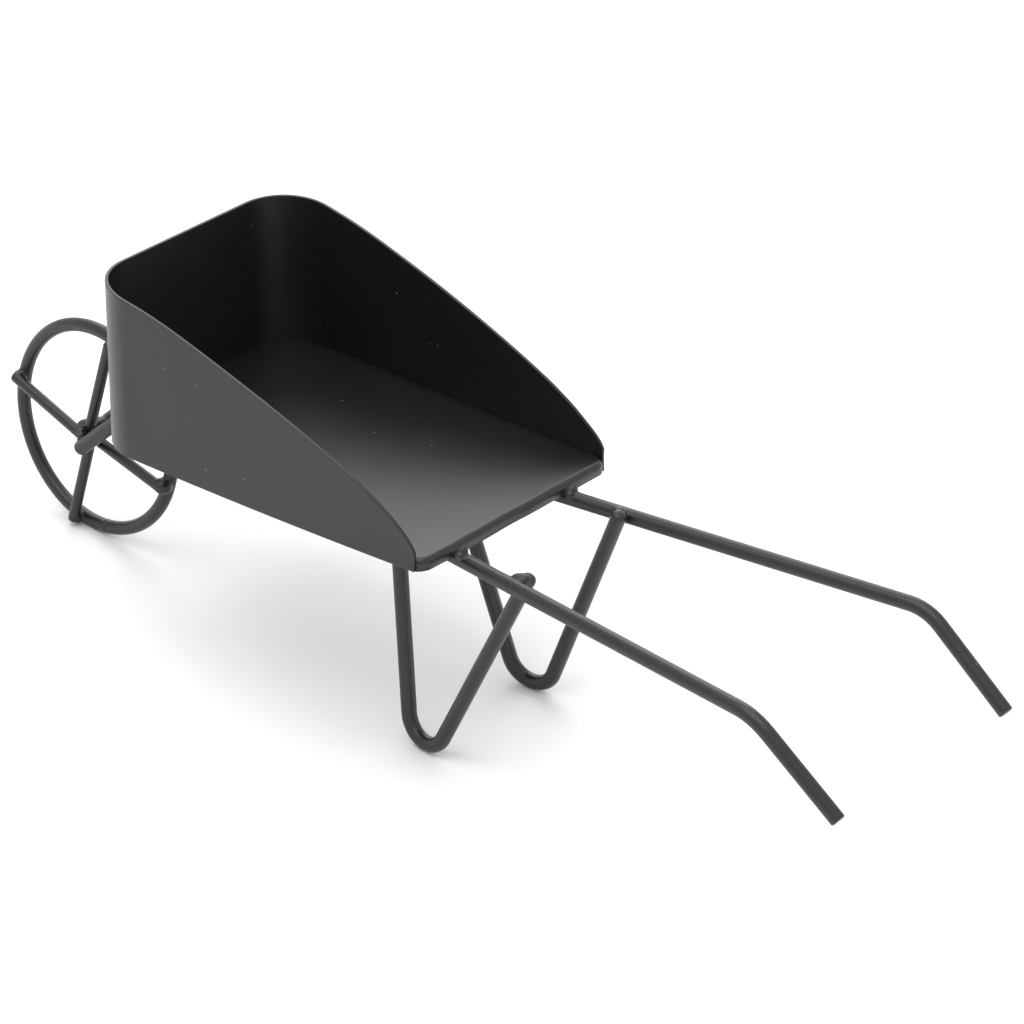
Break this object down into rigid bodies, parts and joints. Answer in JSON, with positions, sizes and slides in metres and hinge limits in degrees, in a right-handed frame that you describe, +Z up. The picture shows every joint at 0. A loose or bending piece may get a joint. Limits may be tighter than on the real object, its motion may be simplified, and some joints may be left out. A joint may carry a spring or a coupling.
{
  "type": "miniature wheelbarrow",
  "caption": "Small wire wheelbarrow: a U-shaped sheet tray, open at the rear, on long bent rods with V legs and a spoked wire wheel that turns.",
  "frame": {"origin": "on the ground, under the middle of the whole object's box", "axes": "+X along the barrow towards the wheel, +Y to its left, +Z up"},
  "size_m": [0.206, 0.0506, 0.0684],
  "materials": {
    "sheet_paint": "satin black powder coat on steel sheet",
    "rod_paint": "satin black powder coat on steel wire",
    "hub_paint": "satin black powder coat on steel tube",
    "weld_paint": "satin black powder coat over weld beads"
  },
  "bodies": {
    "frame": {"axle_pin": "hub_paint", "axle_weld_left": "weld_paint", "axle_weld_right": "weld_paint", "floor_weld_front": "weld_paint", "floor_weld_left": "weld_paint", "floor_weld_right": "weld_paint", "handle_rod_left": "rod_paint", "handle_rod_right": "rod_paint", "leg_front_weld_left": "weld_paint", "leg_front_weld_right": "weld_paint", "leg_left": "rod_paint", "leg_rear_weld_left": "weld_paint", "leg_rear_weld_right": "weld_paint", "leg_right": "rod_paint", "lip_weld_left": "weld_paint", "lip_weld_right": "weld_paint", "nose_weld_left": "weld_paint", "nose_weld_right": "weld_paint", "tray_floor": "sheet_paint", "tray_wall": "sheet_paint"},
    "wheel": {"wheel_rim": "rod_paint", "hub_sleeve": "hub_paint", "rim_seam_weld": "weld_paint", "hub_weld": "weld_paint", "rim_weld_bottom": "weld_paint", "rim_weld_front": "weld_paint", "rim_weld_rear": "weld_paint", "rim_weld_top": "weld_paint", "spoke_bottom": "rod_paint", "spoke_front": "rod_paint", "spoke_rear": "rod_paint", "spoke_top": "rod_paint"}
  },
  "joints": [
    {"name": "wheel_spin", "type": "hinge", "parent": "frame", "child": "wheel", "pos_m": [0.08278, 0, 0.02027], "axis": [0.0349, 0.998, 0.0523], "continuous": true}
  ]
}
